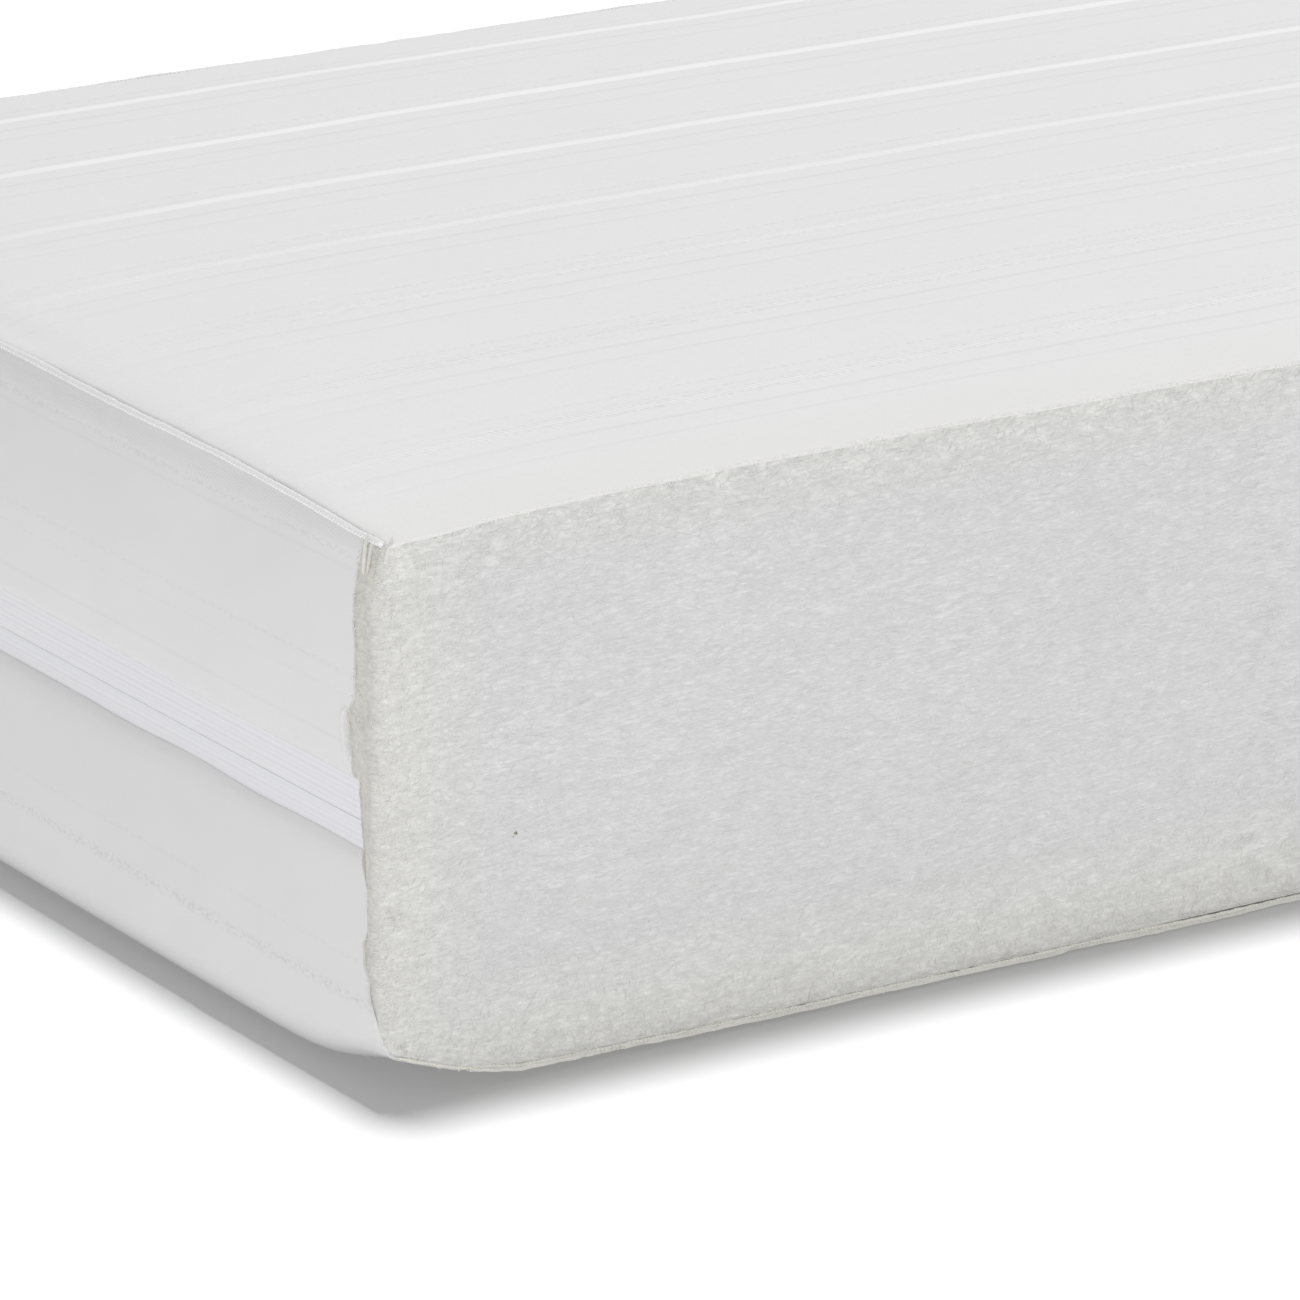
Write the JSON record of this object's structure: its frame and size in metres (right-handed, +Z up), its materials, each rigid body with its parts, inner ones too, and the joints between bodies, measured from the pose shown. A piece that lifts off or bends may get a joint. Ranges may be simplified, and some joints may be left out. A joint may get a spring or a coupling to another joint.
{
  "type": "cradle mattress",
  "caption": "Cradle mattress cut open along one long side: striped ticking cover with a wrap-round zip, fibre wadding and a foam core with a memory foam layer.",
  "frame": {"origin": "centre of the footprint, on the surface that the mattress lies on", "axes": "+X along the length, +Y from the cut-open front face to the back border, +Z up"},
  "size_m": [0.9, 0.4, 0.14],
  "materials": {
    "base_foam": "open-cell polyurethane foam, matte off-white",
    "memory_foam": "fine-cell viscoelastic foam, matte cream",
    "wadding": "loose white polyester fibre wadding, matte",
    "ticking": "white woven ticking with tone-on-tone satin stripes",
    "border_ticking": "white woven ticking with tone-on-tone twill stripes",
    "base_cloth": "plain off-white woven cloth",
    "seam_thread": "white polyester sewing thread",
    "zip_tape": "ribbed woven polyester zip tape, cool white",
    "zip_coil": "white polyester monofilament",
    "zip_metal": "white lacquered die-cast zinc"
  },
  "bodies": {
    "mattress": {"base_foam": "base_foam", "memory_foam": "memory_foam", "top_wadding": "wadding", "bottom_wadding": "wadding", "front_wadding": "wadding", "back_wadding": "wadding", "left_wadding": "wadding", "right_wadding": "wadding", "top_panel": "ticking", "upper_border": "border_ticking", "top_seam": "seam_thread", "bottom_panel": "base_cloth", "lower_border": "border_ticking", "bottom_seam": "seam_thread", "upper_zip_tape": "zip_tape", "lower_zip_tape": "zip_tape", "upper_zip_coil": "zip_coil", "lower_zip_coil": "zip_coil"},
    "slider": {"zip_slider": "zip_metal"},
    "pull": {"zip_pull": "zip_metal"}
  },
  "joints": [
    {"name": "zip_slide", "type": "slide", "parent": "mattress", "child": "slider", "axis": [1, 0, 0], "range_m": [-0.74, 0]},
    {"name": "pull_hinge", "type": "hinge", "parent": "slider", "child": "pull", "pos_m": [0.37, 0.1965, 0.066], "axis": [0, 0, 1], "range_deg": [0, 180]}
  ]
}
